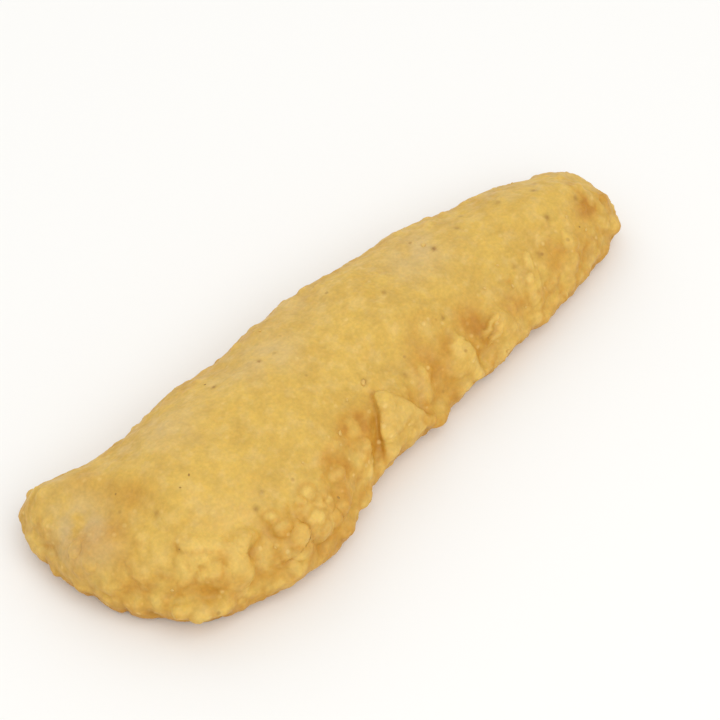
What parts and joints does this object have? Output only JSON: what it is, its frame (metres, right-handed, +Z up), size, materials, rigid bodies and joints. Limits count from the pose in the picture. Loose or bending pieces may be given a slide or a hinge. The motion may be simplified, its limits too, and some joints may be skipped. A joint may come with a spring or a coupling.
{
  "type": "fried fish fillet",
  "caption": "Battered and deep-fried fish fillet: a long, domed golden piece with a blunt shoulder end, a slim tail end and a ragged batter edge, lying flat.",
  "frame": {"origin": "on the resting plane, under the middle of the fillet's box", "axes": "+X along the length towards the slim tail end, -Y towards the ragged long edge, +Z up through the domed top"},
  "size_m": [0.164, 0.057, 0.0244],
  "materials": {
    "fried_batter": "golden fried batter, dull with a little oil"
  },
  "bodies": {
    "root": {"battered_fillet": "fried_batter"}
  },
  "joints": []
}
